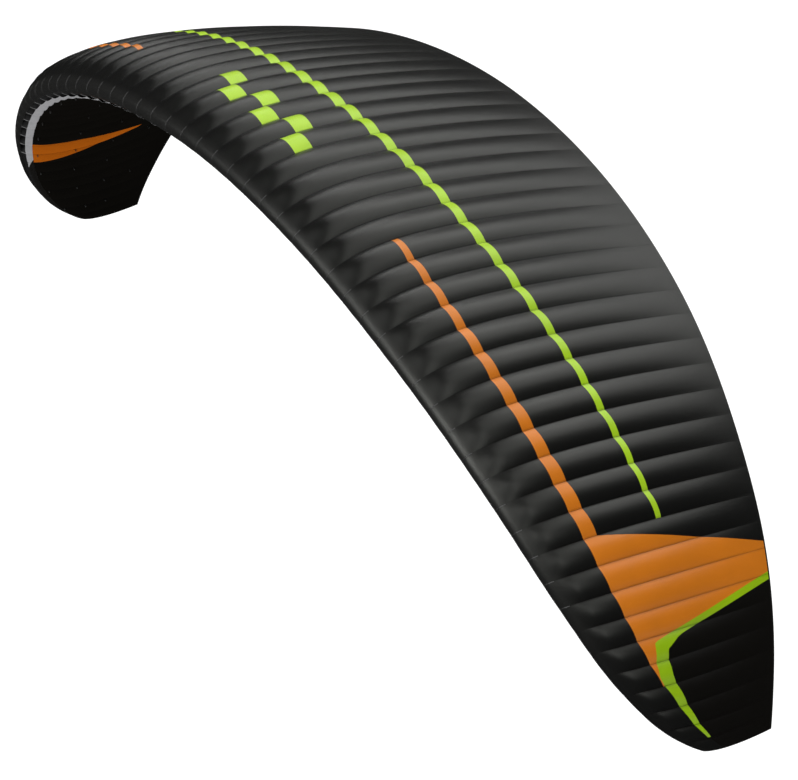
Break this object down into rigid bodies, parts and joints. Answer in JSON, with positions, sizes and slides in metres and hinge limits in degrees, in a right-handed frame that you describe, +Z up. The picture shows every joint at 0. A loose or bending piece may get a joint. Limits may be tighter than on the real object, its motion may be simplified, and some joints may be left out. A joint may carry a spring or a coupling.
{
  "type": "paraglider wing",
  "caption": "Inflated ram-air wing: arched double-skin cloth with ribs and open air inlets along the nose, held up by its lines in flight.",
  "frame": {"origin": "the point under the middle rib, at three tenths of its chord, where the lines take hold", "axes": "+X along the span towards the pilot's left tip, -Y the way it flies, +Z up"},
  "size_m": [9.7092, 2.5032, 2.987],
  "materials": {
    "top_cloth": "coated ripstop, satin",
    "bottom_cloth": "coated ripstop, satin",
    "nose_band": "pale reinforcing cloth",
    "edge_binding": "woven tape"
  },
  "bodies": {
    "root": {"top_cloth_01": "top_cloth", "top_cloth_02": "top_cloth", "top_cloth_03": "top_cloth", "top_cloth_04": "top_cloth", "top_cloth_05": "top_cloth", "top_cloth_06": "top_cloth", "top_cloth_07": "top_cloth", "top_cloth_08": "top_cloth", "top_cloth_09": "top_cloth", "top_cloth_10": "top_cloth", "top_cloth_11": "top_cloth", "top_cloth_12": "top_cloth", "top_cloth_13": "top_cloth", "top_cloth_14": "top_cloth", "top_cloth_15": "top_cloth", "bottom_cloth_01": "bottom_cloth", "bottom_cloth_02": "bottom_cloth", "bottom_cloth_03": "bottom_cloth", "bottom_cloth_04": "bottom_cloth", "bottom_cloth_05": "bottom_cloth", "bottom_cloth_06": "bottom_cloth", "bottom_cloth_07": "bottom_cloth", "bottom_cloth_08": "bottom_cloth", "bottom_cloth_09": "bottom_cloth", "bottom_cloth_10": "bottom_cloth", "bottom_cloth_11": "bottom_cloth", "bottom_cloth_12": "bottom_cloth", "bottom_cloth_13": "bottom_cloth", "bottom_cloth_14": "bottom_cloth", "bottom_cloth_15": "bottom_cloth", "nose_band_1": "nose_band", "nose_band_2": "nose_band", "nose_band_3": "nose_band", "nose_band_4": "nose_band", "nose_band_5": "nose_band", "edge_binding_01": "edge_binding", "edge_binding_02": "edge_binding", "edge_binding_03": "edge_binding", "edge_binding_04": "edge_binding", "edge_binding_05": "edge_binding", "edge_binding_06": "edge_binding", "edge_binding_07": "edge_binding", "edge_binding_08": "edge_binding", "edge_binding_09": "edge_binding", "edge_binding_10": "edge_binding", "edge_binding_11": "edge_binding", "edge_binding_12": "edge_binding", "edge_binding_13": "edge_binding", "edge_binding_14": "edge_binding", "edge_binding_15": "edge_binding"}
  },
  "joints": []
}
